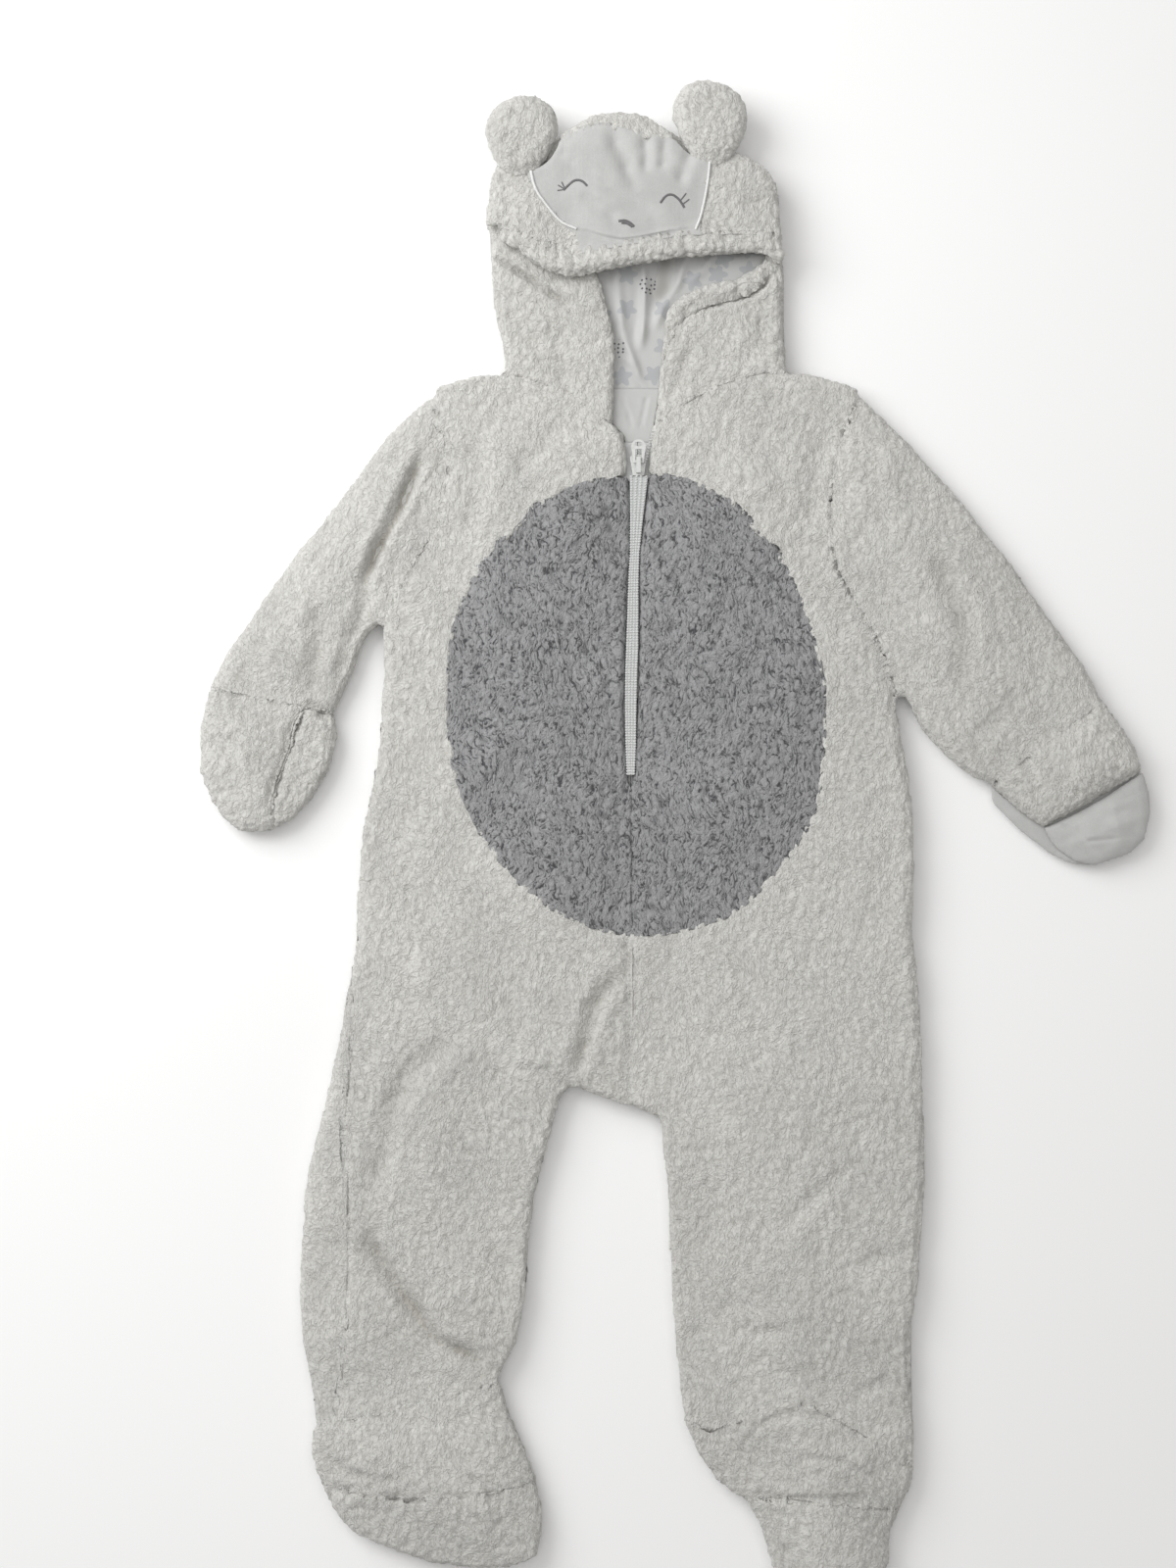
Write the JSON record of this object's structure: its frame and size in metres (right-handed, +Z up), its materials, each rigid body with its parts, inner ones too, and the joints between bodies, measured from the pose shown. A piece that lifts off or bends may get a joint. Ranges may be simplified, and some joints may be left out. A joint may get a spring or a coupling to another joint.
{
  "type": "baby snowsuit",
  "caption": "Hooded, footed fleece baby suit with ears, an animal face, a grey belly, a front zip and fold-over mitts, laid flat on its back.",
  "frame": {"origin": "middle of the footprint, on the surface that the suit lies on", "axes": "+X to the wearer's left, +Y towards the hood, +Z up, out of the suit's front"},
  "size_m": [0.525, 0.8471, 0.0263],
  "materials": {
    "fleece": "off-white curly pile fleece",
    "grey_fleece": "mid-grey curly pile fleece",
    "velour": "smooth off-white velour",
    "printed_jersey": "white jersey with a pale grey print",
    "plain_jersey": "plain white jersey",
    "zip_tape": "white woven tape and nylon coil",
    "zip_metal": "white enamelled zinc"
  },
  "bodies": {
    "suit": {"front_right": "fleece", "front_left": "fleece", "back_right": "fleece", "back_left": "fleece", "foot_right_upper": "fleece", "foot_right_sole": "fleece", "foot_right_under": "fleece", "foot_left_instep": "fleece", "foot_left_upper": "fleece", "foot_left_sole": "fleece", "sleeve_right": "fleece", "sleeve_left": "fleece", "mitt_right_palm": "fleece", "mitt_right_flap": "fleece", "mitt_right_hand": "fleece", "cuff_left": "fleece", "hood_back": "fleece", "hood_side_right": "fleece", "hood_side_left": "fleece", "hood_top_right": "fleece", "hood_top_left": "fleece", "hood_cheek_right": "fleece", "hood_cheek_left": "fleece", "hood_brim": "fleece", "hood_edge_left": "fleece", "ear_right": "fleece", "ear_left": "fleece", "belly_right": "grey_fleece", "belly_left": "grey_fleece", "face": "velour", "mitt_left_hand": "velour", "mitt_left_palm": "velour", "hood_lining": "printed_jersey", "neck_facing": "plain_jersey", "zip_tape_right": "zip_tape", "zip_tape_left": "zip_tape", "zip_chain": "zip_tape", "zip_slider": "zip_metal"},
    "pull_tab": {"zip_pull_tab": "zip_metal"}
  },
  "joints": [
    {"name": "pull_tab_hinge", "type": "hinge", "parent": "suit", "child": "pull_tab", "pos_m": [-0.0212, 0.2147, 0.014], "axis": [1, 0, 0], "range_deg": [0, 160]}
  ]
}
